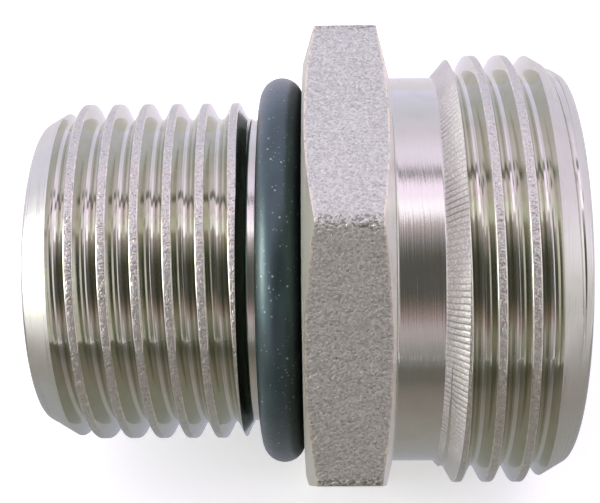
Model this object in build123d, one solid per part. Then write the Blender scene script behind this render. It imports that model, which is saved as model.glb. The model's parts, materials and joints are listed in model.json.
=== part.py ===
from build123d import *
from build123d.topology import SkipClean
import os
from math import cos, radians, sin, sqrt, tan

# A nipple that joins a half inch pipe thread to a three quarter inch thread with a cone seat.
# X runs along the waterway, with the half inch end at minus X and the three quarter inch end
# at plus X. Z is up, and a flat of the hexagon lies down. The origin is on the axis of the
# waterway, in the face of the hexagon that the rubber ring seals against.
# Lengths are millimetres and angles are degrees.

# Both ends carry the same parallel pipe thread, right-handed, with a flat on top of its ridge
thread_pitch = 1.8143
flank_angle = 55.0
crest_flat = 0.5

# Half inch end
small_thread_diameter = 20.955
small_end_length = 15.8
small_start_angle = 87.5

# Three quarter inch end
large_thread_diameter = 26.441
large_end_length = 10.55
large_start_angle = 238.0

# Both open ends are chamfered down to the root of the thread, and the edge left is broken
lead_angle = 30.0
end_edge_break = 0.25

# Hexagon, with its corners rounded by the forging and its faces chamfered by turning. The
# circle where a chamfer starts is this much smaller across than the flats, and a chamfer's
# width is along the axis, at a corner.
hexagon_across_flats = 26.7
hexagon_width = 5.05
hexagon_corner_radius = 0.5
seal_face_under_flats = 0.9
seal_side_chamfer = 0.72
cone_face_under_flats = 1.7
cone_side_chamfer = 0.72

# Rubber ring, and its groove between the half inch thread and the hexagon. The thread's own
# groove is a little deeper, and runs out just past the foot of the ring groove's flank.
ring_section_diameter = 2.55
ring_seat_clearance = 0.02
ring_to_hexagon_clearance = 0.07
ring_to_flank_clearance = 0.58
groove_floor_above_root = 0.185
groove_flank_lean = 25.0
thread_run_out = 0.2

# Neck between the hexagon and the three quarter inch thread, with a cone up to that thread
neck_width = 2.7
neck_below_root = 0.05
shoulder_angle = 50.0

# Waterway, and the cone seat in the mouth of the three quarter inch end
waterway_diameter = 15.0
seat_mouth_diameter = 19.9
seat_angle_from_axis = 15.0
mouth_edge_break = 0.4

# Sizes that follow from the driving ones
thread_depth = (thread_pitch - crest_flat) / (2 * tan(radians(flank_angle / 2)))
small_major = small_thread_diameter / 2
small_root = small_major - thread_depth
large_major = large_thread_diameter / 2
large_root = large_major - thread_depth
groove_floor = small_root + groove_floor_above_root
neck_radius = large_root - neck_below_root
ring_groove_width = ring_to_hexagon_clearance + ring_section_diameter + ring_to_flank_clearance
small_end_x = -small_end_length
neck_end_x = hexagon_width + neck_width
large_end_x = hexagon_width + large_end_length
seal_face_edge = (hexagon_across_flats - seal_face_under_flats) / 2
cone_face_edge = (hexagon_across_flats - cone_face_under_flats) / 2
hexagon_sharp_corner = hexagon_across_flats / sqrt(3)
hexagon_corner = hexagon_sharp_corner - hexagon_corner_radius * (2 / sqrt(3) - 1)
hexagon_envelope = hexagon_sharp_corner + hexagon_corner_radius

# Between the corners of its hexagon the turned form repeats by sixths
HEXAGON_SIDES = 6
SIXTH = 360 / HEXAGON_SIDES

# A cutter stands this far past the surface that it opens
CUTTER_OVERRUN = 0.3

# Two places nearer than this are the same corner
SAME_PLACE = 1e-4

# The rubber ring's round section is turned with this many sides
RING_SECTION_SIDES = 12


def lead_length(major, root):
    """The length of an open end's chamfer along the axis."""
    return (major - root) / tan(radians(lead_angle))


def half_inch_outline():
    """The turned outline of the half inch end, from the axis out to the groove floor."""
    flank_run = (small_major - groove_floor) * tan(radians(groove_flank_lean))
    return [
        (small_end_x, 0),
        (small_end_x, small_root),
        (small_end_x + lead_length(small_major, small_root), small_major),
        (-ring_groove_width - flank_run, small_major),
        (-ring_groove_width, groove_floor),
        (0, groove_floor),
    ]


def chamfer_run(run_at_corner, face_edge):
    """How far a chamfer runs along the axis on the disc, from its run at the hexagon's corner."""
    return run_at_corner * (hexagon_envelope - face_edge) / (hexagon_corner - face_edge)


def hexagon_outline():
    """The turned outline of the disc that becomes the hexagon, with a chamfer on each face."""
    return [
        (0, seal_face_edge),
        (chamfer_run(seal_side_chamfer, seal_face_edge), hexagon_envelope),
        (hexagon_width - chamfer_run(cone_side_chamfer, cone_face_edge), hexagon_envelope),
        (hexagon_width, cone_face_edge),
    ]


def three_quarter_outline():
    """The turned outline of the neck, its cone shoulder and the three quarter inch end."""
    shoulder_run = (large_major - neck_radius) / tan(radians(shoulder_angle))
    return [
        (hexagon_width, neck_radius),
        (neck_end_x, neck_radius),
        (neck_end_x + shoulder_run, large_major),
        (large_end_x - lead_length(large_major, large_root), large_major),
        (large_end_x, large_root),
        (large_end_x, 0),
    ]


def corners_at(face, places):
    """The corners of a flat face that lie at the given places."""
    return [v for v in face.vertices() for x, y in places if abs(v.X - x) + abs(v.Y - y) < SAME_PLACE]


def turned_profile():
    """Half the turned section, with the outer edges of both open ends broken."""
    outline = half_inch_outline() + hexagon_outline() + three_quarter_outline()
    face = make_face(Polyline(*outline, close=True))
    open_edges = [(small_end_x, small_root), (large_end_x, large_root)]
    return chamfer(corners_at(face, open_edges), end_edge_break)


def turned_blank():
    """The turned form, as six like sectors that reach from corner to corner of the hexagon."""
    sector = revolve(turned_profile(), axis=Axis.X, revolution_arc=SIXTH)
    first, *others = [Rot(X=SIXTH * n) * sector for n in range(HEXAGON_SIDES)]
    return first.fuse(*others)


def hexagon_waste():
    """What is cut off the disc outside the hexagon's six flats and rounded corners."""
    hexagon = RegularPolygon(hexagon_across_flats / 2, HEXAGON_SIDES, major_radius=False)
    hexagon = fillet(hexagon.vertices(), hexagon_corner_radius)
    waste = Circle(hexagon_envelope + CUTTER_OVERRUN) - hexagon
    side_on = Plane(origin=(0, 0, 0), x_dir=(0, 1, 0), z_dir=(1, 0, 0))
    return extrude(side_on * waste, hexagon_width)


def groove_turn(major, turns):
    """The cutter for about one turn of a vee groove, round Z and starting at plus X."""
    root = major - thread_depth
    mouth = major + CUTTER_OVERRUN
    half_mouth = (mouth - root) * tan(radians(flank_angle / 2))
    section = Polyline((root, 0, 0), (mouth, 0, -half_mouth), (mouth, 0, half_mouth), close=True)
    return sweep(make_face(section), path=Helix(thread_pitch, thread_pitch * turns, root), is_frenet=True)


def thread_groove(major, low_x, high_x, face_x, face_angle):
    """The helical groove of a thread from low_x to high_x, as one cutter for each turn.

    Its bottom meets the plane of the open end, at face_x, at face_angle. That angle is counted
    from plus Y towards plus Z.
    """
    count = round((high_x - low_x) / thread_pitch)
    step = (high_x - low_x) / count
    turn = groove_turn(major, step / thread_pitch)
    cutters = []
    for n in range(count):
        start_x = low_x + step * n
        angle = radians(face_angle + 360 * (start_x - face_x) / thread_pitch)
        seat = Plane(origin=(start_x, 0, 0), x_dir=(0, cos(angle), sin(angle)), z_dir=(1, 0, 0))
        cutters.append(seat * turn)
    return cutters


def half_inch_groove():
    """The half inch thread's groove, from beyond the open end into the ring's groove."""
    start_x = small_end_x - thread_pitch
    end_x = thread_run_out - ring_groove_width
    return thread_groove(small_major, start_x, end_x, small_end_x, small_start_angle)


def three_quarter_groove():
    """The three quarter inch thread's groove, from the neck to beyond the open end."""
    start_x = hexagon_width + neck_width / 2
    return thread_groove(large_major, start_x, large_end_x + thread_pitch, large_end_x, large_start_angle)


def waterway():
    """The bore right through, with the cone seat in the three quarter inch mouth."""
    bore = waterway_diameter / 2
    mouth = seat_mouth_diameter / 2
    slope = tan(radians(seat_angle_from_axis))
    seat_x = large_end_x - (mouth - bore) / slope
    outline = [
        (small_end_x - CUTTER_OVERRUN, 0),
        (small_end_x - CUTTER_OVERRUN, bore + mouth_edge_break + CUTTER_OVERRUN),
        (small_end_x + mouth_edge_break, bore),
        (seat_x, bore),
        (large_end_x - mouth_edge_break, mouth - mouth_edge_break * slope),
        (large_end_x + CUTTER_OVERRUN, mouth + mouth_edge_break * (1 - slope) + CUTTER_OVERRUN),
        (large_end_x + CUTTER_OVERRUN, 0),
    ]
    return revolve(make_face(Polyline(*outline, close=True)), axis=Axis.X)


def nipple_body():
    """The whole brass fitting in one piece, with each sixth of its turned faces kept apart."""
    with SkipClean():
        threaded = turned_blank().cut(*half_inch_groove(), *three_quarter_groove())
        return threaded.cut(hexagon_waste(), waterway())


def o_ring():
    """The rubber ring, seated on the groove floor beside the hexagon."""
    section_radius = ring_section_diameter / 2
    middle_radius = groove_floor + ring_seat_clearance + section_radius
    middle_x = -ring_to_hexagon_clearance - section_radius
    section = Pos(middle_x, middle_radius) * RegularPolygon(section_radius, RING_SECTION_SIDES)
    return revolve(section, axis=Axis.X)


os.makedirs("parts", exist_ok=True)
export_step(nipple_body(), "parts/nipple_body.step")
export_step(o_ring(), "parts/o_ring.step")
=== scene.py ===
import json
import logging
import math
from dataclasses import dataclass
from enum import Enum
from typing import Sequence

import bpy
from mathutils import Matrix, Vector


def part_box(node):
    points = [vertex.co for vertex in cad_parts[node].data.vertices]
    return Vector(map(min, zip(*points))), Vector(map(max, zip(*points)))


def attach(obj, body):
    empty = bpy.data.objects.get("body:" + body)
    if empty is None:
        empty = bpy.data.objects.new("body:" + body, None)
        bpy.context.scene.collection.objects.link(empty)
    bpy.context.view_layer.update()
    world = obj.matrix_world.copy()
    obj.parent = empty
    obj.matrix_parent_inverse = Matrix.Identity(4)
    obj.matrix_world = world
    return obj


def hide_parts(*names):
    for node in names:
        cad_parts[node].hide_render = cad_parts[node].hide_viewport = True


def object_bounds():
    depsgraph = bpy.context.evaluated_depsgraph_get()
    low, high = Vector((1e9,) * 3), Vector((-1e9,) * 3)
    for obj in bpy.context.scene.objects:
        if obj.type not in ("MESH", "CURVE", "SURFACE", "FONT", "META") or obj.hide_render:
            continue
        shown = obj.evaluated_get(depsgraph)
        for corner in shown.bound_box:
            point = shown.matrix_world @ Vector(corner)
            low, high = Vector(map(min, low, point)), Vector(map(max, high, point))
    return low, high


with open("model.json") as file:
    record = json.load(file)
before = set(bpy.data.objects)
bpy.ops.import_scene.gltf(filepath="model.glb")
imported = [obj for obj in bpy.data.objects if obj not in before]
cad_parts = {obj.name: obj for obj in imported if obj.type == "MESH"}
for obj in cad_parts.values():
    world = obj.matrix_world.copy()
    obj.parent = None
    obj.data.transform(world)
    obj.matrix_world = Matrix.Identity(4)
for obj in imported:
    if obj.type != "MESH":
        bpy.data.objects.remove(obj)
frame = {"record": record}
CAD_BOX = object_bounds()

logging.basicConfig(level=logging.INFO, format="%(message)s")
log = logging.getLogger("nipple")

# Lengths below are metres, and MM turns a workshop size into them. The finishes count in
# millimetres. X runs along the waterway.
MM = 0.001

# Both threads' pitch, in millimetres
THREAD_PITCH = 1.8143

HEXAGON_SIDES = 6

# The tent's directions run over half a turn, in degrees
HALF_TURN = 180.0

# Points nearer than this are merged, first in an outline and then in a solid
SAME_CORNER = 1e-8
SAME_POINT = 1e-7

# Bounds on a face's normal that tell its kind, first along X and then outwards from the axis
SQUARE_ON = 0.99
FLAT_LEAN = 0.3
SHOULDER_LEAN = -0.5
INWARDS = -0.05
CHAMFER_OUT = 0.8
CREST_OUT = 0.97

# How near a face's middle lies to the surface that it belongs to
NEAR_BORE = 0.05 * MM
NEAR_SEAL_FACE = 0.01 * MM
NEAR_CHAMFER = 0.02 * MM
NEAR_CREST = 0.012 * MM

# A place along X with its distance from the axis, the same with a corner's rounding, and a tone
Point = tuple[float, float]
Corner = tuple[float, float, float]
Colour = tuple[float, float, float]

# A range's ends or a pair of settings, a scale of colours by place, and a node's socket
Span = tuple[float, float]
Scale = tuple[tuple[float, Colour], ...]
Socket = bpy.types.NodeSocket


class Skin(Enum):
    """The kinds of surface that the brass body shows."""

    SMALL_THREAD = 0
    LARGE_THREAD = 1
    CREST = 2
    NECK = 3
    FORGED = 4
    HEX_CHAMFER = 5
    SHOULDER = 6
    END_CHAMFER = 7
    WATERWAY = 8
    SEAL_FACE = 9
    SEAL_CHAMFER = 10


def mount(name: str) -> dict:
    """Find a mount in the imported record.

    Args:
        name: The mount's name.

    Returns:
        The mount as the record holds it.
    """
    return next(m for m in frame["record"]["mounts"] if m["name"] == name)


def radius_of(name: str) -> float:
    """Read a round mount's radius.

    Args:
        name: The mount's name.

    Returns:
        The radius in metres.
    """
    return mount(name)["dims"]["r_mm"] * MM


class Bench:
    """Modelling steps that several pieces share."""

    @staticmethod
    def clear() -> None:
        """Leave edit mode and deselect everything."""
        if bpy.context.object and bpy.context.object.mode != "OBJECT":
            bpy.ops.object.mode_set(mode="OBJECT")
        bpy.ops.object.select_all(action="DESELECT")

    @staticmethod
    def take(piece: bpy.types.Object) -> None:
        """Make a piece the only one that is selected and active.

        Args:
            piece: The piece.
        """
        Bench.clear()
        piece.select_set(True)
        bpy.context.view_layer.objects.active = piece

    @staticmethod
    def edit(piece: bpy.types.Object) -> None:
        """Open a piece in edit mode with all of it selected.

        Args:
            piece: The piece.
        """
        Bench.take(piece)
        bpy.ops.object.mode_set(mode="EDIT")
        bpy.ops.mesh.select_all(action="SELECT")

    @staticmethod
    def outline(name: str, points: Sequence[Point]) -> bpy.types.Object:
        """Draw a closed outline of edges in the X, Y plane.

        Args:
            name: The new object's name.
            points: Places along X and out from the axis along Y, in order round the outline.

        Returns:
            The outline as a mesh object.
        """
        Bench.clear()
        bpy.ops.mesh.primitive_plane_add(size=MM)
        piece = bpy.context.object
        piece.name = name
        Bench.edit(piece)
        bpy.ops.mesh.merge(type="CENTER")
        bpy.ops.transform.translate(value=(points[0][0], points[0][1], 0))
        for last, here in zip(points, [*points[1:], points[0]]):
            step = (here[0] - last[0], here[1] - last[1], 0)
            bpy.ops.mesh.extrude_region_move(TRANSFORM_OT_translate={"value": step})
        bpy.ops.mesh.select_all(action="SELECT")
        bpy.ops.mesh.remove_doubles(threshold=SAME_CORNER)
        bpy.ops.object.mode_set(mode="OBJECT")
        return piece

    @staticmethod
    def spin(piece: bpy.types.Object, steps: int) -> None:
        """Turn an outline once round the X axis into a closed ring-shaped solid.

        Args:
            piece: The outline.
            steps: How many steps make the turn.
        """
        Bench.edit(piece)
        bpy.ops.mesh.spin(steps=steps, angle=math.tau, center=(0, 0, 0), axis=(1, 0, 0))
        Bench.close(piece)

    @staticmethod
    def close(piece: bpy.types.Object) -> None:
        """Merge a solid's doubled points and turn its faces outwards.

        Args:
            piece: The solid.
        """
        Bench.edit(piece)
        bpy.ops.mesh.remove_doubles(threshold=SAME_POINT)
        bpy.ops.mesh.normals_make_consistent(inside=False)
        bpy.ops.object.mode_set(mode="OBJECT")

    @staticmethod
    def apply(piece: bpy.types.Object, modifier: bpy.types.Modifier) -> None:
        """Apply one modifier of a piece.

        Args:
            piece: The piece.
            modifier: The modifier.
        """
        Bench.take(piece)
        bpy.ops.object.modifier_apply(modifier=modifier.name)

    @staticmethod
    def cut(piece: bpy.types.Object, cutter: bpy.types.Object) -> None:
        """Take a cutter's space out of a piece, and delete the cutter.

        Args:
            piece: The solid that is cut.
            cutter: The solid that cuts it.
        """
        modifier = piece.modifiers.new("cut", "BOOLEAN")
        modifier.operation = "DIFFERENCE"
        modifier.solver = "MANIFOLD"
        modifier.object = cutter
        Bench.apply(piece, modifier)
        bpy.data.objects.remove(cutter)


def rounded(points: Sequence[Corner], segments: int = 4) -> list[Point]:
    """Round the corners of a closed outline.

    Each arc has a point a little beyond either end, so that smooth shading leaves the straight
    sides beside it flat.

    Args:
        points: Each corner's place along X, its distance from the axis and its rounding radius.
        segments: How many straight steps make each rounding.

    Returns:
        The outline's points, with an arc in place of each corner that has a radius.
    """
    outline: list[Point] = []
    beside = 0.02 * MM
    for before, corner, after in zip([points[-1], *points[:-1]], points, [*points[1:], points[0]]):
        here = Vector(corner[:2])
        back = (Vector(before[:2]) - here).normalized()
        ahead = (Vector(after[:2]) - here).normalized()
        half = back.angle(ahead) / 2
        if corner[2] <= 0:
            outline.append(corner[:2])
            continue
        centre = here + (back + ahead).normalized() * corner[2] / math.sin(half)
        start = here + back * corner[2] / math.tan(half) - centre
        end = here + ahead * corner[2] / math.tan(half) - centre
        turn = start.angle_signed(end)
        outline.append(tuple(centre + start + back * beside))
        for n in range(segments + 1):
            outline.append(tuple(centre + Matrix.Rotation(-turn * n / segments, 2) @ start))
        outline.append(tuple(centre + end + ahead * beside))
    return outline


class Wiring:
    """The nodes of one material, wired with short calls."""

    def __init__(self, name: str) -> None:
        """Start a material with a plain shader.

        Args:
            name: The material's name.
        """
        self.material = bpy.data.materials.new(name)
        self.material.use_nodes = True
        self.tree = self.material.node_tree
        self.shader = self.tree.nodes["Principled BSDF"]

    def feed(self, socket: Socket, value: object) -> None:
        """Link another node's output to a socket, or set a plain value on it.

        Args:
            socket: The socket.
            value: Another node's output, or the value.
        """
        if isinstance(value, Socket):
            self.tree.links.new(value, socket)
        elif isinstance(value, tuple) and len(value) == 3 and socket.type == "RGBA":
            socket.default_value = (*value, 1.0)
        else:
            socket.default_value = value

    def add(self, kind: str, inputs: dict, **settings: object) -> bpy.types.Node:
        """Add a node.

        Args:
            kind: The node's type.
            inputs: What goes into each of its sockets, by name or number.
            settings: The node's own options.

        Returns:
            The new node.
        """
        node = self.tree.nodes.new(kind)
        for key, value in settings.items():
            setattr(node, key, value)
        for key, value in inputs.items():
            self.feed(node.inputs[key], value)
        return node

    def math(self, operation: str, *values: object) -> Socket:
        """Do one sum.

        Args:
            operation: The sum's kind.
            values: Up to three values.

        Returns:
            The sum's result.
        """
        return self.add("ShaderNodeMath", dict(enumerate(values)), operation=operation).outputs[0]

    def vector(self, x: object, y: object, z: object) -> Socket:
        """Join three values into a vector.

        Args:
            x: The first value.
            y: The second value.
            z: The third value.

        Returns:
            The vector.
        """
        return self.add("ShaderNodeCombineXYZ", {0: x, 1: y, 2: z}).outputs[0]

    def fit(
        self, value: object, low: float, high: float, start: float = 0.0, end: float = 1.0
    ) -> Socket:
        """Take a value from the range low to high onto start to end, and hold it there.

        Args:
            value: What is fitted.
            low: The value that gives start.
            high: The value that gives end.
            start: What low gives.
            end: What high gives.

        Returns:
            The fitted value.
        """
        inputs = {0: value, 1: low, 2: high, 3: start, 4: end}
        return self.add("ShaderNodeMapRange", inputs, interpolation_type="SMOOTHSTEP").outputs[0]

    def spread(self, cloud: object, start: float, end: float) -> Socket:
        """Take the range of most of a cloudy pattern onto start to end.

        Args:
            cloud: The pattern.
            start: What its low parts give.
            end: What its high parts give.

        Returns:
            The fitted value.
        """
        return self.fit(cloud, 0.3, 0.7, start, end)

    def noise(self, vector: object, scale: float, detail: float = 3.0) -> Socket:
        """Lay out a cloudy pattern.

        Args:
            vector: Where each point is.
            scale: How fine the clouds are.
            detail: How many finer layers they have.

        Returns:
            The pattern, from 0 to 1.
        """
        inputs = {"Vector": vector, "Scale": scale, "Detail": detail}
        return self.add("ShaderNodeTexNoise", inputs).outputs[0]

    def specks(self, vector: object, scale: float, size: float) -> Socket:
        """Strew small round specks.

        Args:
            vector: Where each point is.
            scale: How close the specks lie.
            size: A speck's radius, as a share of their distance.

        Returns:
            The pattern, 1 in the specks and 0 between them.
        """
        core = size * 0.6
        cells = self.add("ShaderNodeTexVoronoi", {"Vector": vector, "Scale": scale})
        return self.fit(cells.outputs["Distance"], core, size, 1.0, 0.0)

    def mix(self, share: object, first: object, second: object) -> Socket:
        """Blend two colours.

        Args:
            share: How much of the second colour there is, from 0 to 1.
            first: The first colour.
            second: The second colour.

        Returns:
            The blend.
        """
        # The node's colours go in at sockets 6 and 7 and come out at socket 2
        inputs = {0: share, 6: first, 7: second}
        return self.add("ShaderNodeMix", inputs, data_type="RGBA").outputs[2]

    def ramp(self, value: object, stops: Sequence[tuple[float, Colour]]) -> Socket:
        """Read a value's colour off a scale of colours.

        Args:
            value: The value.
            stops: Places on the scale, in rising order, each with its colour.

        Returns:
            The colour.
        """
        node = self.add("ShaderNodeValToRGB", {0: value})
        elements = node.color_ramp.elements
        for element, (place, colour) in zip((elements[0], elements[1]), (stops[0], stops[-1])):
            element.position, element.color = place, (*colour, 1.0)
        for place, colour in stops[1:-1]:
            elements.new(place).color = (*colour, 1.0)
        return node.outputs[0]

    def bump(self, height: object, millimetres: object, under: object = None) -> Socket:
        """Raise a surface by a pattern.

        Args:
            height: The pattern.
            millimetres: How high it stands where it is 1.
            under: The normal of the surface below it, where another pattern shapes it.

        Returns:
            The raised surface's normal.
        """
        if isinstance(millimetres, Socket):
            distance = self.math("MULTIPLY", millimetres, MM)
        else:
            distance = millimetres * MM
        inputs = {"Height": height, "Distance": distance, "Strength": 1.0}
        if under:
            inputs["Normal"] = under
        return self.add("ShaderNodeBump", inputs).outputs[0]

    def glow(self, tone: object) -> None:
        """Put plain light in the shader's place.

        Args:
            tone: The light's colour.
        """
        light = self.add("ShaderNodeEmission", {"Color": tone, "Strength": 1.0})
        output = self.tree.nodes["Material Output"]
        self.tree.links.new(light.outputs[0], output.inputs["Surface"])
        self.tree.nodes.remove(self.shader)

    def finish(self, **sockets: object) -> bpy.types.Material:
        """Give the shader its inputs.

        Args:
            sockets: A value for each input, whose name has a low line for each space.

        Returns:
            The finished material.
        """
        for name, value in sockets.items():
            self.feed(self.shader.inputs[name.replace("_", " ")], value)
        return self.material


class Place:
    """Where a point of the fitting is, for a material's patterns, in millimetres."""

    def __init__(self, wiring: Wiring) -> None:
        """Read the point from the object's own coordinates.

        Args:
            wiring: The material's nodes.
        """
        found = wiring.add("ShaderNodeTexCoord", {}).outputs["Object"]
        scaled = {0: found, "Scale": 1 / MM}
        self.point = wiring.add("ShaderNodeVectorMath", scaled, operation="SCALE").outputs[0]
        parts = wiring.add("ShaderNodeSeparateXYZ", {0: self.point}).outputs
        self.x, self.y, self.z = parts[0], parts[1], parts[2]
        square = wiring.math("MULTIPLY", self.z, self.z)
        self.radius = wiring.math("SQRT", wiring.math("MULTIPLY_ADD", self.y, self.y, square))
        self.across = wiring.math("DIVIDE", self.y, self.radius)
        self.up = wiring.math("DIVIDE", self.z, self.radius)
        self.angle = wiring.math("ARCTAN2", self.z, self.y)


@dataclass(frozen=True)
class Metal:
    """The tones that all the nickel plate shares, among them a pale tone of painted light and
    darker tones that also paint shade.
    """

    nickel: Colour = (0.62, 0.635, 0.52)
    # A darker tone: random stains on the turned and cut faces, and painted shade over the whole
    # seal-side chamfer
    stains_and_shade: Colour = (0.53, 0.54, 0.42)
    # Painted light: a pale tone that paints the cone-side hexagon chamfer and the shoulder as lit
    bright: Colour = (0.90, 0.90, 0.79)
    blasted: Colour = (0.72, 0.75, 0.62)
    # A dark tone: pits, knocks and torn metal, painted shade in the grooves of the shoulder's
    # chatter marks, and the seal face's darkening
    pits_and_shade: Colour = (0.27, 0.27, 0.21)
    brass: Colour = (0.88, 0.80, 0.58)


@dataclass(frozen=True)
class CutThreadFinish:
    """Bright flanks and roots, with tool lines that follow the thread."""

    name: str
    start_x: float
    start_angle: float
    major: float
    pitch: float = THREAD_PITCH
    line_reach: float = 4.0
    line_rise: float = 9.0
    line_height: float = 0.002
    rough: Span = (0.05, 0.12)
    stain_scale: float = 0.9
    stain_range: Span = (0.45, 0.8)
    stain_share: float = 0.5
    edge_below: Span = (0.14, 0.02)
    worn_scale: float = 4.0
    worn_range: Span = (0.5, 0.62)
    worn_share: float = 0.7
    metal: Metal = Metal()

    def make(self) -> bpy.types.Material:
        """Make the material.

        Returns:
            The material.
        """
        w = Wiring(self.name)
        place = Place(w)
        along = w.math("MULTIPLY", place.x, math.tau / self.pitch)
        lead = math.tau * self.start_x / self.pitch - math.radians(self.start_angle)
        phase = w.math("SUBTRACT", w.math("SUBTRACT", along, place.angle), lead)
        lines = w.vector(
            w.math("MULTIPLY_ADD", w.math("COSINE", phase), self.line_reach, place.across),
            w.math("MULTIPLY_ADD", w.math("SINE", phase), self.line_reach, place.up),
            w.math("MULTIPLY", place.radius, self.line_rise),
        )
        fine = w.noise(lines, 1.0)
        stain = w.noise(place.point, self.stain_scale)
        stained = w.fit(stain, *self.stain_range, 0.0, self.stain_share)
        edge = w.fit(place.radius, *(self.major - below for below in self.edge_below))
        patches = w.noise(place.point, self.worn_scale)
        worn = w.math("MULTIPLY", edge, w.fit(patches, *self.worn_range, 0.0, self.worn_share))
        tone = w.mix(stained, self.metal.nickel, self.metal.stains_and_shade)
        return w.finish(
            Base_Color=w.mix(worn, tone, self.metal.brass),
            Metallic=1.0,
            Roughness=w.spread(fine, *self.rough),
            Normal=w.bump(fine, self.line_height),
        )


@dataclass(frozen=True)
class TornCrestFinish:
    """The rough flat on top of the thread, torn by the tool."""

    name: str
    torn_scale: float = 3.6
    torn_detail: float = 4.0
    torn_height: float = 0.09
    grain_scale: float = 9.0
    grain_height: float = 0.06
    pale_range: Span = (0.32, 0.5)
    pale_share: Span = (0.5, 1.0)
    gold_scale: float = 2.2
    gold_range: Span = (0.58, 0.72)
    gold_share: float = 0.5
    rough: Span = (0.20, 0.12)
    metal: Metal = Metal()

    def make(self) -> bpy.types.Material:
        """Make the material.

        Returns:
            The material.
        """
        w = Wiring(self.name)
        place = Place(w)
        torn = w.noise(place.point, self.torn_scale, self.torn_detail)
        grain = w.noise(place.point, self.grain_scale)
        patches = w.noise(place.point, self.gold_scale)
        gold = w.fit(patches, *self.gold_range, 0.0, self.gold_share)
        pale = w.fit(grain, *self.pale_range, *self.pale_share)
        tone = w.mix(pale, self.metal.pits_and_shade, self.metal.nickel)
        skin = w.bump(torn, self.torn_height)
        return w.finish(
            Base_Color=w.mix(gold, tone, self.metal.brass),
            Metallic=1.0,
            Roughness=w.spread(grain, *self.rough),
            Normal=w.bump(grain, self.grain_height, skin),
        )


@dataclass(frozen=True)
class TurnedFinish:
    """Smooth turned metal, with fine lines round it."""

    name: str
    line_height: float = 0.012
    line_scale: float = 15.0
    rough: Span = (0.08, 0.18)
    metallic: float = 1.0
    tone: Colour = Metal.nickel
    line_wander: float = 1.5
    stain_scale: float = 0.7
    stain_range: Span = (0.45, 0.8)
    stain_share: float = 0.4
    grit_scale: float = 9.0
    grit_height: float = 0.002
    metal: Metal = Metal()

    def make(self) -> bpy.types.Material:
        """Make the material.

        Returns:
            The material.
        """
        w = Wiring(self.name)
        place = Place(w)
        lines = w.vector(
            w.math("MULTIPLY_ADD", place.x, self.line_scale, place.across),
            w.math("MULTIPLY_ADD", place.radius, self.line_scale, place.up),
            w.math("MULTIPLY", place.across, self.line_wander),
        )
        fine = w.noise(lines, 1.0)
        stain = w.noise(place.point, self.stain_scale)
        stained = w.fit(stain, *self.stain_range, 0.0, self.stain_share)
        grit = w.noise(place.point, self.grit_scale, 2.0)
        skin = w.bump(fine, self.line_height)
        return w.finish(
            Base_Color=w.mix(stained, self.tone, self.metal.stains_and_shade),
            Metallic=self.metallic,
            Roughness=w.spread(fine, *self.rough),
            Normal=w.bump(grit, self.grit_height, skin),
        )


@dataclass(frozen=True)
class ShoulderFinish:
    """The cone up to the large thread, with the marks of a tool that chattered, painted shade in
    their grooves and a pale tone of painted light.
    """

    name: str
    marks_round: float = 228.0
    slant: float = 1.8
    mark_height: float = 0.016
    wobble_scale: float = 0.9
    wobble: float = 2.0
    fade_scale: float = 0.35
    fade_range: Span = (0.35, 0.6)
    fade_share: Span = (0.25, 1.0)
    dark_range: Span = (-1.0, -0.5)
    grain_scale: float = 8.0
    grain_height: float = 0.02
    pale_range: Span = (0.4, 0.7)
    metallic: float = 0.3
    rough: Span = (0.30, 0.42)
    metal: Metal = Metal()

    def make(self) -> bpy.types.Material:
        """Make the material.

        Returns:
            The material.
        """
        w = Wiring(self.name)
        place = Place(w)
        turn = w.math("MULTIPLY", place.angle, self.marks_round)
        wobble = w.math("MULTIPLY", w.noise(place.point, self.wobble_scale, 2.0), self.wobble)
        lean = w.math("MULTIPLY_ADD", place.x, self.slant, wobble)
        marks = w.math("SINE", w.math("ADD", turn, lean))
        patches = w.noise(place.point, self.fade_scale, 1.0)
        fade = w.fit(patches, *self.fade_range, *self.fade_share)
        grain = w.noise(place.point, self.grain_scale)
        skin = w.bump(w.math("MULTIPLY", marks, fade), self.mark_height)
        # Painted shade: the dark tone lies in the low grooves of the marks, where their bump sinks
        dark = w.math("MULTIPLY", w.fit(marks, *self.dark_range, 1.0, 0.0), fade)
        # Painted light: the grain blends the plate's tone with the pale painted light tone, so that
        # the cone looks lit
        tone = w.mix(w.fit(grain, *self.pale_range), self.metal.nickel, self.metal.bright)
        return w.finish(
            Base_Color=w.mix(dark, tone, self.metal.pits_and_shade),
            Metallic=self.metallic,
            Roughness=w.spread(grain, *self.rough),
            Normal=w.bump(grain, self.grain_height, skin),
        )


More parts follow.
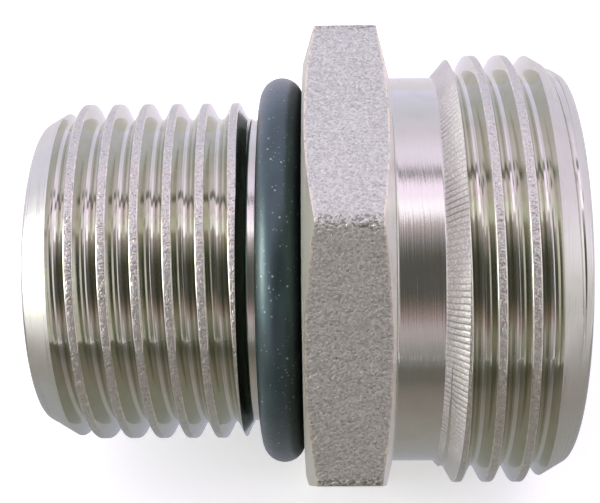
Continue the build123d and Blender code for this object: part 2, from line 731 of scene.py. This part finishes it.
@dataclass(frozen=True)
class ForgedFinish:
    """The hexagon's flats, left as forged and blasted, with the plate worn off their edges.

    seal_edge and cone_edge give each chamfer's cone, as its place along X at the axis and how far
    it moves along X for each millimetre outwards.
    """

    name: str
    seal_edge: Span
    cone_edge: Span
    corner: float = 15.34
    corner_below: Span = (0.26, 0.06)
    corner_height: float = 0.10
    lump_scale: float = 5.0
    lump_height: float = 0.04
    lump_range: Span = (0.5, 0.42)
    lump_share: float = 0.9
    coarse_scale: float = 2.6
    coarse_height: float = 0.08
    grain_scale: float = 6.5
    grain_height: float = 0.05
    facet_scale: float = 9.0
    facet_height: float = 0.018
    facet_share: float = 0.45
    blast_range: Span = (0.3, 0.6)
    pits: Span = (2.2, 0.16)
    pit_share: float = 0.5
    glints: Span = (4.6, 0.15)
    glint_tone: Colour = (1.0, 1.0, 0.95)
    glint_rough: float = -0.12
    worn_inside: Span = (0.05, 0.15)
    worn_range: Span = (0.42, 0.52)
    worn_share: Span = (0.15, 0.9)
    rough: Span = (0.34, 0.44)
    metal: Metal = Metal()

    def make(self) -> bpy.types.Material:
        """Make the material.

        Returns:
            The material.
        """
        w = Wiring(self.name)
        place = Place(w)
        grain = w.noise(place.point, self.grain_scale)
        coarse = w.noise(place.point, self.coarse_scale)
        lumps = w.noise(place.point, self.lump_scale)
        corner = w.fit(place.radius, *(self.corner - below for below in self.corner_below))
        knocks = w.math("MULTIPLY", corner, w.fit(lumps, *self.lump_range, 0.0, self.lump_share))
        pits = w.math("MULTIPLY", w.specks(place.point, *self.pits), self.pit_share)
        grid = {"Vector": place.point, "Scale": self.facet_scale}
        cells = w.add("ShaderNodeTexVoronoi", grid).outputs["Color"]
        facet = w.add("ShaderNodeSeparateColor", {0: cells}).outputs[0]
        pale = w.fit(grain, *self.blast_range, *self.blast_range)
        blasted = w.math("MULTIPLY_ADD", facet, self.facet_share, pale)
        glint = w.specks(place.point, *self.glints)
        tone = w.mix(blasted, self.metal.pits_and_shade, self.metal.blasted)
        tone = w.mix(w.math("MAXIMUM", pits, knocks), tone, self.metal.pits_and_shade)
        tone = w.mix(glint, tone, self.glint_tone)
        bounds = []
        for (start, slope), side in ((self.seal_edge, 1.0), (self.cone_edge, -1.0)):
            edge = w.math("MULTIPLY_ADD", place.radius, slope, start)
            inside = w.math("MULTIPLY", w.math("SUBTRACT", place.x, edge), side)
            bounds.append(w.fit(inside, *self.worn_inside, 1.0, 0.0))
        patches = w.fit(coarse, *self.worn_range, *self.worn_share)
        worn = w.math("MULTIPLY", w.math("MAXIMUM", *bounds), patches)
        height = w.math("MULTIPLY_ADD", corner, self.corner_height, self.lump_height)
        skin = w.bump(coarse, self.coarse_height, w.bump(lumps, height))
        skin = w.bump(grain, self.grain_height, skin)
        rough = w.spread(grain, *self.rough)
        return w.finish(
            Base_Color=w.mix(worn, tone, self.metal.brass),
            Metallic=1.0,
            Roughness=w.math("MULTIPLY_ADD", glint, self.glint_rough, rough),
            Normal=w.bump(facet, self.facet_height, skin),
        )


@dataclass(frozen=True)
class RubberFinish:
    """Soft dark rubber with a little dust."""

    name: str
    rubber: Colour = (0.004, 0.012, 0.009)
    film: Colour = (0.012, 0.034, 0.028)
    film_scale: float = 0.45
    film_range: Span = (0.4, 0.75)
    dust: Colour = (0.30, 0.36, 0.34)
    large_dust: Span = (1.7, 0.13)
    small_dust: Span = (3.6, 0.15)
    dust_scale: float = 0.8
    dust_range: Span = (0.40, 0.58)
    dust_share: Span = (0.2, 1.0)
    fine_scale: float = 6.0
    fine_height: float = 0.010
    rough: Span = (0.32, 0.42)
    shine: Colour = (0.62, 0.95, 0.92)
    coat: float = 0.5
    coat_rough: float = 0.40

    def make(self) -> bpy.types.Material:
        """Make the material.

        Returns:
            The material.
        """
        w = Wiring(self.name)
        place = Place(w)
        cloud = w.noise(place.point, self.film_scale)
        tone = w.mix(w.fit(cloud, *self.film_range), self.rubber, self.film)
        large, small = (w.specks(place.point, *dust) for dust in (self.large_dust, self.small_dust))
        patches = w.noise(place.point, self.dust_scale, 2.0)
        share = w.fit(patches, *self.dust_range, *self.dust_share)
        dusty = w.math("MULTIPLY", w.math("MAXIMUM", large, small), share)
        fine = w.noise(place.point, self.fine_scale, 2.0)
        return w.finish(
            Base_Color=w.mix(dusty, tone, self.dust),
            Roughness=w.spread(fine, *self.rough),
            Specular_IOR_Level=1.0,
            Specular_Tint=self.shine,
            Coat_Weight=self.coat,
            Coat_Roughness=self.coat_rough,
            Normal=w.bump(fine, self.fine_height),
        )


@dataclass(frozen=True)
class PipeThread:
    """One end's parallel pipe thread, right-handed round +X."""

    name: str
    major: float
    first_x: float
    turns: int
    pitch: float = THREAD_PITCH * MM
    flank_angle: float = math.radians(55)
    crest_flat: float = 0.47 * MM
    crest_rounding: float = 0.12 * MM
    root_rounding: float = 0.26 * MM
    lip: float = 0.1 * MM
    lift: float = 0.003 * MM
    overrun: float = 0.3 * MM
    arc_steps: int = 5

    def cutter(self, steps: int) -> bpy.types.Object:
        """Model the groove that the threading tool clears, as a closed helical solid.

        Args:
            steps: How many steps make one turn.

        Returns:
            The cutter, whose middle starts at first_x straight out along +Y.
        """
        half = (self.pitch - self.crest_flat) / 2
        depth = half / math.tan(self.flank_angle / 2)
        mouth = self.major + self.lift
        top = self.major + self.overrun
        corners = [
            (-half - self.lip, top, 0),
            (-half - self.lip, mouth, 0),
            (-half, mouth, self.crest_rounding),
            (0, self.major - depth, self.root_rounding),
            (half, mouth, self.crest_rounding),
            (half + self.lip, mouth, 0),
            (half + self.lip, top, 0),
        ]
        points = [(x + self.first_x, r) for x, r in rounded(corners, self.arc_steps)]
        piece = Bench.outline(self.name, points)
        screw = piece.modifiers.new("helix", "SCREW")
        screw.axis = "X"
        screw.angle = math.tau
        screw.screw_offset = self.pitch
        screw.iterations = self.turns
        screw.steps = screw.render_steps = steps
        screw.use_smooth_shade = False
        Bench.apply(piece, screw)
        Bench.edit(piece)
        bpy.ops.mesh.select_all(action="DESELECT")
        bpy.ops.mesh.select_non_manifold()
        bpy.ops.mesh.fill_holes(sides=0)
        Bench.close(piece)
        return piece


@dataclass(frozen=True)
class NippleBody:
    """The brass fitting: two threaded ends, the ring's groove, the hexagon and the neck."""

    bore: float = radius_of("waterway")
    small_major: float = radius_of("half_inch_thread")
    large_major: float = radius_of("three_quarter_inch_thread")
    low_x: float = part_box("nipple_body")[0].x
    high_x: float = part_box("nipple_body")[1].x
    half_flats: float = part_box("nipple_body")[1].z
    root_depth: float = 1.2624 * MM
    neck_depth: float = 1.3124 * MM
    seat_depth: float = 1.0774 * MM
    groove_width: float = 3.2 * MM
    groove_flank_run: float = 0.5024 * MM
    hex_width: float = 5.05 * MM
    hex_corner: float = 0.5 * MM
    envelope: float = 15.915 * MM
    seal_face: float = 12.9 * MM
    seal_chamfer: float = 0.890 * MM
    cone_face: float = 12.5 * MM
    cone_chamfer: float = 0.866 * MM
    neck_width: float = 2.7 * MM
    shoulder_run: float = 1.101 * MM
    lead_run: float = 2.187 * MM
    mouth_break: float = 0.4 * MM
    seat_mouth: float = 10.243 * MM
    seat_throat_x: float = 6.456 * MM
    lead_angle: float = math.radians(30)
    small_start: float = 87.5
    large_start: float = 238.0
    small_turns: int = 9
    small_turns_outside: int = 1
    large_turns: int = 6
    large_turns_inside: int = 4
    edge_rounding: float = 0.03 * MM
    end_rounding: float = 0.35 * MM
    floor_rounding: float = 0.2 * MM
    seat_rounding: float = 0.15 * MM
    face_rounding: float = 0.06 * MM
    throat_rounding: float = 0.3 * MM
    cutter_reach: float = 0.6 * MM
    corner_steps: int = 8
    waste_steps: int = 64
    steps: int = 320
    smooth_below: float = math.radians(25)

    def corners(self) -> list[Corner]:
        """Lay out the turned section, from the bore at the small end round.

        Returns:
            The section's corners, each with its rounding.
        """
        small_floor = self.small_major - self.seat_depth
        neck = self.large_major - self.neck_depth
        neck_end = self.hex_width + self.neck_width
        seat_foot = self.seat_mouth - self.mouth_break
        return [
            (self.low_x, self.bore + self.mouth_break, self.edge_rounding),
            (self.low_x, self.small_major - self.root_depth, self.end_rounding),
            (self.low_x + self.lead_run, self.small_major, self.edge_rounding),
            (-self.groove_width - self.groove_flank_run, self.small_major, self.edge_rounding),
            (-self.groove_width, small_floor, self.floor_rounding),
            (0, small_floor, self.seat_rounding),
            (0, self.seal_face, self.face_rounding),
            (self.seal_chamfer, self.envelope, 0),
            (self.hex_width - self.cone_chamfer, self.envelope, 0),
            (self.hex_width, self.cone_face, self.face_rounding),
            (self.hex_width, neck, self.floor_rounding),
            (neck_end, neck, self.floor_rounding),
            (neck_end + self.shoulder_run, self.large_major, self.edge_rounding),
            (self.high_x - self.lead_run, self.large_major, self.edge_rounding),
            (self.high_x, self.large_major - self.root_depth, self.end_rounding),
            (self.high_x, self.seat_mouth, self.edge_rounding),
            (self.high_x - self.mouth_break, seat_foot, self.edge_rounding),
            (self.seat_throat_x, self.bore, self.throat_rounding),
            (self.low_x + self.mouth_break, self.bore, self.edge_rounding),
        ]

    def hexagon_waste(self) -> bpy.types.Object:
        """Model the ring of metal that lies outside the hexagon.

        Returns:
            The ring, as a cutter.
        """
        reach = self.cutter_reach
        middle = self.hex_width / 2
        Bench.clear()
        bpy.ops.mesh.primitive_circle_add(
            vertices=HEXAGON_SIDES,
            radius=self.half_flats / math.cos(math.pi / HEXAGON_SIDES),
            location=(-reach, 0, 0),
            rotation=(0, math.pi / 2, 0),
        )
        prism = bpy.context.object
        bpy.ops.object.transform_apply(location=True, rotation=True, scale=True)
        Bench.edit(prism)
        tangent = self.hex_corner * math.tan(math.pi / HEXAGON_SIDES)
        bpy.ops.mesh.bevel(
            offset=tangent, affect="VERTICES", segments=self.corner_steps, profile=0.5
        )
        bpy.ops.mesh.select_all(action="SELECT")
        bpy.ops.mesh.edge_face_add()
        run = (self.hex_width + 2 * reach, 0, 0)
        bpy.ops.mesh.extrude_region_move(TRANSFORM_OT_translate={"value": run})
        Bench.close(prism)
        Bench.clear()
        bpy.ops.mesh.primitive_cylinder_add(
            vertices=self.waste_steps,
            radius=self.envelope + MM,
            depth=self.hex_width + reach,
            location=(middle, 0, 0),
            rotation=(0, math.pi / 2, 0),
        )
        waste = bpy.context.object
        bpy.ops.object.transform_apply(location=True, rotation=True, scale=True)
        Bench.cut(waste, prism)
        return waste

    def build(self) -> bpy.types.Object:
        """Turn the blank, then cut its threads and its hexagon.

        Returns:
            The finished body.
        """
        body = Bench.outline("nickel_plated_body", rounded(self.corners()))
        Bench.spin(body, self.steps)
        pitch = PipeThread.pitch
        small_x = self.low_x - pitch * (self.small_start / 360 + self.small_turns_outside)
        large_x = self.high_x - pitch * (self.large_start / 360 + self.large_turns_inside)
        for thread in (
            PipeThread("half_inch_tool", self.small_major, small_x, self.small_turns),
            PipeThread("three_quarter_tool", self.large_major, large_x, self.large_turns),
        ):
            Bench.cut(body, thread.cutter(self.steps))
        Bench.cut(body, self.hexagon_waste())
        Bench.close(body)
        Bench.take(body)
        bpy.ops.object.shade_smooth_by_angle(angle=self.smooth_below)
        self.dress(body)
        return body

    def skin_at(self, centre: Vector, normal: Vector) -> Skin:
        """Name the kind of surface that a face belongs to.

        Args:
            centre: The face's middle.
            normal: The face's outward normal.

        Returns:
            The kind of surface.
        """
        x, radius = centre.x, math.hypot(centre.y, centre.z)
        outward = (normal.y * centre.y + normal.z * centre.z) / radius
        if outward < INWARDS or radius < self.bore + NEAR_BORE:
            return Skin.WATERWAY
        if normal.x < -SQUARE_ON and abs(x) < NEAR_SEAL_FACE:
            return Skin.SEAL_FACE
        if abs(normal.x) > SQUARE_ON:
            return Skin.NECK
        if 0 < x < self.hex_width and radius > self.cone_face:
            if abs(normal.x) < FLAT_LEAN:
                return Skin.FORGED
            return Skin.SEAL_CHAMFER if normal.x < 0 else Skin.HEX_CHAMFER
        if x < 0:
            major, end = self.small_major, self.low_x
            inner = -self.groove_width - self.groove_flank_run
        else:
            major, end = self.large_major, self.high_x
            inner = self.hex_width + self.neck_width + self.shoulder_run
        from_end = abs(x - end)
        cone = major - self.root_depth + from_end * math.tan(self.lead_angle)
        on_cone = abs(radius - cone) < NEAR_CHAMFER and from_end < self.lead_run
        if on_cone and outward > CHAMFER_OUT:
            return Skin.END_CHAMFER
        if radius > major - NEAR_CREST and outward > CREST_OUT:
            return Skin.CREST
        if x < 0:
            return Skin.NECK if x > inner else Skin.SMALL_THREAD
        if x < inner:
            shoulder = x > self.hex_width + self.neck_width and normal.x < SHOULDER_LEAN
            return Skin.SHOULDER if shoulder else Skin.NECK
        return Skin.LARGE_THREAD

    def dress(self, body: bpy.types.Object) -> None:
        """Give each kind of surface its finish.

        Args:
            body: The finished body.
        """
        small, large = self.small_major / MM, self.large_major / MM
        low, high = self.low_x / MM, self.high_x / MM
        seal_slope = self.seal_chamfer / (self.envelope - self.seal_face)
        cone_slope = -self.cone_chamfer / (self.envelope - self.cone_face)
        seal_edge = (-self.seal_face / MM * seal_slope, seal_slope)
        cone_edge = (self.hex_width / MM - self.cone_face / MM * cone_slope, cone_slope)
        finishes = {
            Skin.SMALL_THREAD: CutThreadFinish("small_thread", low, self.small_start, small),
            Skin.LARGE_THREAD: CutThreadFinish("large_thread", high, self.large_start, large),
            Skin.CREST: TornCrestFinish("torn_crest"),
            Skin.NECK: TurnedFinish("turned_neck"),
            Skin.FORGED: ForgedFinish("forged_flats", seal_edge, cone_edge),
            # Painted light: this chamfer takes the pale painted light tone, though it is the same
            # turned metal as the seal-side chamfer
            Skin.HEX_CHAMFER: TurnedFinish(
                "hexagon_chamfer",
                line_scale=6.0,
                rough=(0.30, 0.45),
                metallic=0.45,
                tone=Metal.bright,
            ),
            Skin.SHOULDER: ShoulderFinish("chattered_shoulder"),
            Skin.END_CHAMFER: TurnedFinish("end_chamfer", line_scale=8.0, rough=(0.25, 0.42)),
            Skin.WATERWAY: TurnedFinish(
                "bored_waterway", line_height=0.010, line_scale=5.0, rough=(0.18, 0.30)
            ),
            # The seal face takes the darkest tone all over and a rough finish, so that it is darker
            # than the other turned faces
            Skin.SEAL_FACE: TurnedFinish(
                "seal_face",
                line_height=0.010,
                line_scale=6.0,
                rough=(0.50, 0.60),
                tone=Metal.pits_and_shade,
            ),
            # Painted shade: this chamfer takes the darker tone all over, though it is the same
            # turned metal as the cone-side chamfer
            Skin.SEAL_CHAMFER: TurnedFinish(
                "seal_side_chamfer",
                line_scale=6.0,
                rough=(0.35, 0.50),
                metallic=0.7,
                tone=Metal.stains_and_shade,
            ),
        }
        body.data.materials.clear()
        for skin in Skin:
            body.data.materials.append(finishes[skin].make())
        for polygon in body.data.polygons:
            polygon.material_index = self.skin_at(polygon.center, polygon.normal).value


@dataclass(frozen=True)
class ORing:
    """The rubber ring in its groove."""

    low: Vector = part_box("o_ring")[0]
    high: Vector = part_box("o_ring")[1]
    around: int = 256
    across: int = 48

    def build(self) -> bpy.types.Object:
        """Model the ring as a torus in the place of its solid.

        Returns:
            The ring.
        """
        section = (self.high.x - self.low.x) / 2
        Bench.clear()
        bpy.ops.mesh.primitive_torus_add(
            major_radius=self.high.y - section,
            minor_radius=section,
            major_segments=self.around,
            minor_segments=self.across,
            location=((self.low.x + self.high.x) / 2, 0, 0),
            rotation=(0, math.pi / 2, 0),
        )
        ring = bpy.context.object
        ring.name = "rubber_ring"
        bpy.ops.object.transform_apply(location=True, rotation=True, scale=True)
        Bench.take(ring)
        bpy.ops.object.shade_smooth()
        ring.data.materials.append(RubberFinish("ring_rubber").make())
        return ring


@dataclass(frozen=True)
class Viewpoint:
    """The camera, at the photograph's viewing angle."""

    elevation: float = math.radians(50.05)
    distance: float = 77.3 * MM
    along: float = 1.44 * MM
    above: float = 1.08 * MM
    yaw: float = math.radians(1.33)
    pitch: float = math.radians(0.04)
    roll: float = math.radians(-0.48)
    lens: float = 73.5
    sensor: float = 36.0
    farthest: float = 10.0

    def build(self) -> None:
        """Make the camera and give it to the scene."""
        across = Vector((1, 0, 0))
        ahead = Vector((0, math.cos(self.elevation), -math.sin(self.elevation)))
        up = Vector((0, math.sin(self.elevation), math.cos(self.elevation)))
        right = math.cos(self.yaw) * across + math.sin(self.yaw) * ahead
        look = -math.sin(self.yaw) * across + math.cos(self.yaw) * ahead
        look, up_pitched = (
            math.cos(self.pitch) * look + math.sin(self.pitch) * up,
            math.cos(self.pitch) * up - math.sin(self.pitch) * look,
        )
        right_rolled = math.cos(self.roll) * right + math.sin(self.roll) * up_pitched
        up_rolled = math.cos(self.roll) * up_pitched - math.sin(self.roll) * right
        camera = bpy.data.cameras.new("viewpoint")
        camera.lens = self.lens
        camera.sensor_width = self.sensor
        camera.clip_start = MM
        camera.clip_end = self.farthest
        holder = bpy.data.objects.new("viewpoint", camera)
        bpy.context.scene.collection.objects.link(holder)
        place = self.along * across - self.distance * ahead + self.above * up
        turn = Matrix((right_rolled, up_rolled, -look)).transposed()
        holder.matrix_world = Matrix.Translation(place) @ turn.to_4x4()
        bpy.context.scene.camera = holder


@dataclass(frozen=True)
class Studio:
    """The pale floor and the light tent over it.

    Directions in the tent are counted in degrees round X, from 0 at the floor in front, through
    90 overhead, to 180 at the floor behind.
    """

    reach: float = 0.9
    floor_tone: Colour = (0.93, 0.95, 0.90)
    floor_glow: float = 0.42
    floor_grain: float = 900.0
    floor_paler: float = 0.985
    floor_rough: float = 0.9
    floor_shine: float = 0.1
    floor_sides: int = 96
    middle: Scale = (
        (0, (0.339, 0.315, 0.359)),
        (5, (0.429, 0.399, 0.463)),
        (11, (0.565, 0.494, 0.579)),
        (18, (0.633, 0.546, 0.659)),
        (24, (0.452, 0.315, 0.359)),
        (30, (0.249, 0.194, 0.197)),
        (36, (0.124, 0.116, 0.122)),
        (55, (0.124, 0.116, 0.122)),
        (61, (0.158, 0.147, 0.145)),
        (67, (0.294, 0.283, 0.324)),
        (73, (0.577, 0.462, 0.556)),
        (79, (0.80, 0.67, 0.83)),
        (80.5, (1.7, 1.54, 1.97)),
        (90, (1.7, 1.54, 1.97)),
        (92, (1.3, 1.05, 1.45)),
        (94, (1.58, 1.29, 1.83)),
        (102, (1.53, 1.23, 1.77)),
        (104, (0.30, 0.29, 0.33)),
        (108, (0.36, 0.34, 0.40)),
        (111, (1.22, 1.05, 1.45)),
        (120, (1.22, 1.06, 1.48)),
        (136, (0.983, 0.872, 1.16)),
        (154, (0.882, 0.84, 1.12)),
        (180, (1.03, 0.967, 1.37)),
    )
    sides: Scale = (
        (0, (0.654, 0.621, 0.676)),
        (12, (0.872, 0.818, 0.926)),
        (28, (1.09, 1.01, 1.22)),
        (63, (1.42, 1.31, 1.61)),
        (78, (1.25, 1.14, 1.53)),
        (102, (1.04, 0.894, 1.25)),
        (104, (0.654, 0.6, 0.719)),
        (108, (0.654, 0.6, 0.719)),
        (111, (1.22, 1.07, 1.45)),
        (136, (0.981, 0.872, 1.16)),
        (154, (0.883, 0.839, 1.12)),
        (180, (1.02, 0.97, 1.37)),
    )
    patch_edge: Span = (27.0, 36.0)
    slant_from: float = 0.087
    slant: float = 0.12
    lamp_way: tuple[float, float, float] = (-0.978, -0.081, 0.191)
    lamp_level: float = 9.0
    lamp_width: float = 13.0
    lamp_fade: Span = (1.5, 0.6)
    tent_sides: tuple[int, int] = (48, 24)
    # Painted reflection: the glowing card's tones by distance in front of the object in
    # millimetres, standing in for the floor's shade there; lightest at the object, darkest from 70
    # to 130
    card: Scale = (
        (0, (0.465, 0.48, 0.60)),
        (16, (0.42, 0.40, 0.43)),
        (31, (0.35, 0.30, 0.315)),
        (70, (0.19, 0.175, 0.175)),
        (130, (0.19, 0.175, 0.175)),
        (200, (0.27, 0.26, 0.29)),
    )
    card_size: Span = (0.16, 0.8)
    card_lift: float = 0.05 * MM

    def floor(self, height: float) -> None:
        """Lay the floor.

        Args:
            height: Where the object stands, in metres.
        """
        Bench.clear()
        bpy.ops.mesh.primitive_circle_add(
            vertices=self.floor_sides,
            radius=self.reach,
            fill_type="NGON",
            location=(0, 0, height),
        )
        floor = bpy.context.object
        floor.name = "pale_floor"
        w = Wiring("pale_floor")
        spot = w.add("ShaderNodeTexCoord", {}).outputs["Object"]
        grain = w.noise(spot, self.floor_grain, 2.0)
        paler = tuple(tone * self.floor_paler for tone in self.floor_tone)
        tone = w.mix(grain, self.floor_tone, paler)
        seen = w.add("ShaderNodeLightPath", {}).outputs["Is Camera Ray"]
        floor.data.materials.append(w.finish(
            Base_Color=tone,
            Roughness=self.floor_rough,
            Specular_IOR_Level=self.floor_shine,
            Emission_Color=(1.0, 1.0, 1.0, 1.0),
            Emission_Strength=w.math("MULTIPLY", seen, self.floor_glow),
        ))

    def lay_card(self, height: float) -> None:
        """Lay a glowing card in front of the object, which only reflections show, as a painted
        reflection of the shaded floor.

        Args:
            height: Where the object stands, in metres.
        """
        Bench.clear()
        place = (0, -self.card_size[1] / 2, height + self.card_lift)
        bpy.ops.mesh.primitive_plane_add(size=1.0, location=place)
        card = bpy.context.object
        card.name = "painted_reflection_card"
        card.scale = (*self.card_size, 1.0)
        bpy.ops.object.transform_apply(location=True, rotation=True, scale=True)
        # Only glossy rays see the card, so its glow paints the floor's shade into the metal's
        # reflections and lights nothing
        card.visible_camera = card.visible_diffuse = card.visible_shadow = False
        w = Wiring("painted_reflection_card")
        spot = w.add("ShaderNodeTexCoord", {}).outputs["Object"]
        ahead = w.add("ShaderNodeSeparateXYZ", {0: spot}).outputs[1]
        reach = self.card[-1][0]
        share = w.math("MULTIPLY", ahead, -1.0 / (reach * MM))
        w.glow(w.ramp(share, [(place / reach, tone) for place, tone in self.card]))
        card.data.materials.append(w.material)

    def tent(self, height: float) -> None:
        """Hang the tent, whose inside gives all the light.

        Args:
            height: Where the object stands, in metres.
        """
        Bench.clear()
        segments, rings = self.tent_sides
        bpy.ops.mesh.primitive_uv_sphere_add(
            segments=segments, ring_count=rings, radius=self.reach, location=(0, 0, height)
        )
        tent = bpy.context.object
        tent.name = "light_tent"
        Bench.edit(tent)
        bpy.ops.mesh.bisect(plane_co=(0, 0, height), plane_no=(0, 0, 1), clear_inner=True)
        bpy.ops.object.mode_set(mode="OBJECT")
        tent.visible_camera = False
        w = Wiring("light_tent")
        spot = w.add("ShaderNodeTexCoord", {}).outputs["Object"]
        way = w.add("ShaderNodeVectorMath", {0: spot}, operation="NORMALIZE").outputs[0]
        parts = w.add("ShaderNodeSeparateXYZ", {0: way}).outputs
        round_x = w.math("ARCTAN2", parts[2], w.math("MULTIPLY", parts[1], -1.0))
        slant = w.math("MULTIPLY", w.math("SUBTRACT", self.slant_from, parts[0]), self.slant)
        share = w.math("MULTIPLY_ADD", round_x, 1 / math.pi, slant)
        middle, sides = (
            w.ramp(share, [(place / HALF_TURN, tone) for place, tone in stops])
            for stops in (self.middle, self.sides)
        )
        near_edge, far_edge = (math.sin(math.radians(angle)) for angle in self.patch_edge)
        apart = w.fit(w.math("ABSOLUTE", parts[0]), near_edge, far_edge)
        lamp = {0: way, 1: Vector(self.lamp_way).normalized()}
        near = w.add("ShaderNodeVectorMath", lamp, operation="DOT_PRODUCT").outputs["Value"]
        lamp_edge = (math.cos(math.radians(self.lamp_width * fade)) for fade in self.lamp_fade)
        lamp_share = w.fit(near, *lamp_edge)
        tone = w.mix(lamp_share, w.mix(apart, middle, sides), (self.lamp_level,) * 3)
        w.glow(tone)
        tent.data.materials.append(w.material)

    def build(self) -> None:
        """Set up the floor, the tent and a white world beyond them."""
        height = CAD_BOX[0].z
        self.floor(height)
        self.lay_card(height)
        self.tent(height)
        world = bpy.data.worlds.new("white_surround")
        world.use_nodes = True
        world.node_tree.nodes["Background"].inputs["Color"].default_value = (1.0, 1.0, 1.0, 1.0)
        bpy.context.scene.world = world
        bpy.context.scene.view_settings.view_transform = "Standard"


def main() -> None:
    """Build the camera, the nipple and the studio."""
    Viewpoint().build()
    body = NippleBody().build()
    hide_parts("nipple_body")
    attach(body, "root")
    log.info("%s has %d faces", body.name, len(body.data.polygons))
    ring = ORing().build()
    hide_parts("o_ring")
    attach(ring, "root")
    Studio().build()


if __name__ == "__main__":
    main()
